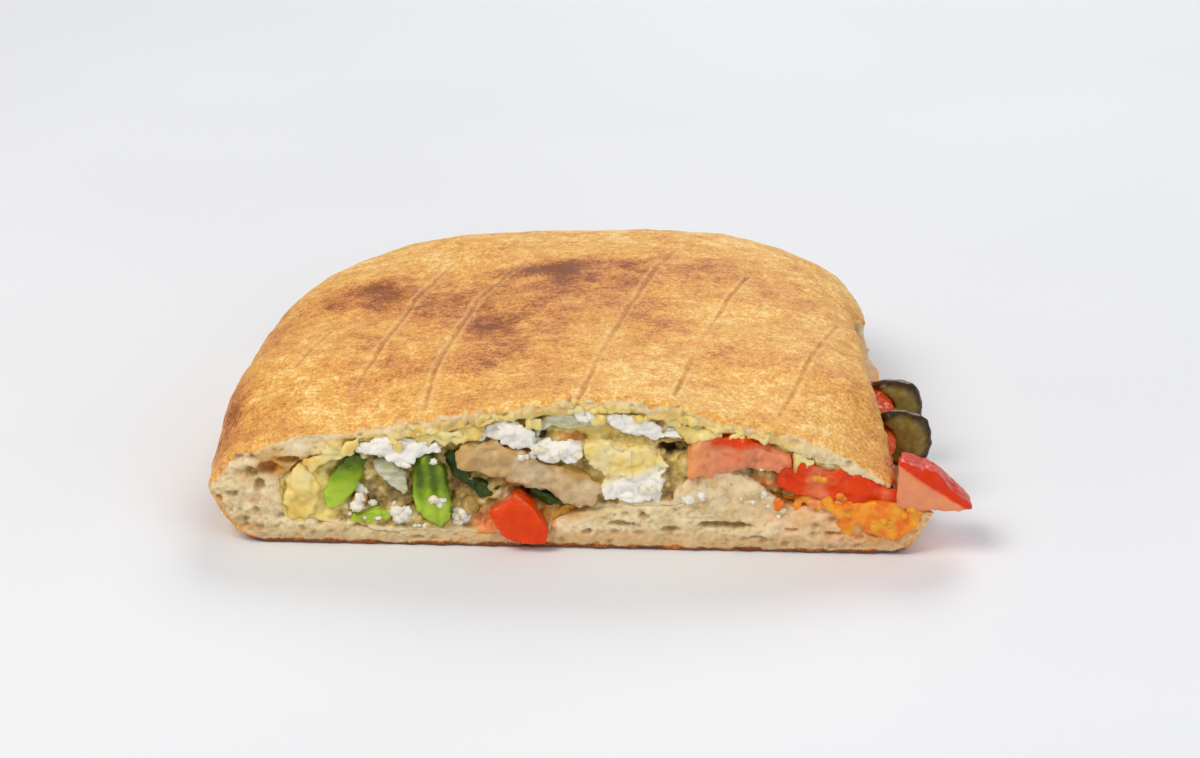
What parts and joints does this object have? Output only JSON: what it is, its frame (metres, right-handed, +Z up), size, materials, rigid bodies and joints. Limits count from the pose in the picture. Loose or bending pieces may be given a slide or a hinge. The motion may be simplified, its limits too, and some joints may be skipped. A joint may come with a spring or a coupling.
{
  "type": "filled flatbread sandwich half",
  "caption": "Half of a toasted pocket flatbread sandwich, cut across, filled with a chicken fillet slice, white and melted cheese, green pepper, onion, tomato and pickle.",
  "frame": {"origin": "on the flat underside of the bread, in the middle of its length and depth", "axes": "+Z up, -Y out of the cut face, +X towards the slit side of the pocket, where the tomato wedge sticks out"},
  "size_m": [0.1595, 0.1398, 0.0339],
  "materials": {
    "bread": "toasted crust, cream crumb where it is cut",
    "melted_cheese": "soft sheen",
    "filling": "moist and crumbly",
    "chicken": "moist cut meat",
    "green_pepper": "wet skin and flesh",
    "onion": "translucent, cooked",
    "white_cheese": "crumbly",
    "tomato": "wet flesh and skin",
    "pickle": "wet skin and flesh"
  },
  "bodies": {
    "root": {"bread": "bread", "melted_cheese_layer": "melted_cheese", "melted_cheese_pool": "melted_cheese", "soft_filling": "filling", "chicken_fillet": "chicken", "pepper_light": "green_pepper", "pepper_rib": "green_pepper", "pepper_dark": "green_pepper", "pepper_end": "green_pepper", "onion_petal": "onion", "onion_slice": "onion", "white_cheese_strip": "white_cheese", "white_cheese_lump": "white_cheese", "white_cheese_block": "white_cheese", "white_cheese_slab": "white_cheese", "tomato_dice": "tomato", "tomato_slice": "tomato", "tomato_flesh": "tomato", "tomato_wedge": "tomato", "pickle_slice_near": "pickle", "pickle_slice_far": "pickle"}
  },
  "joints": []
}
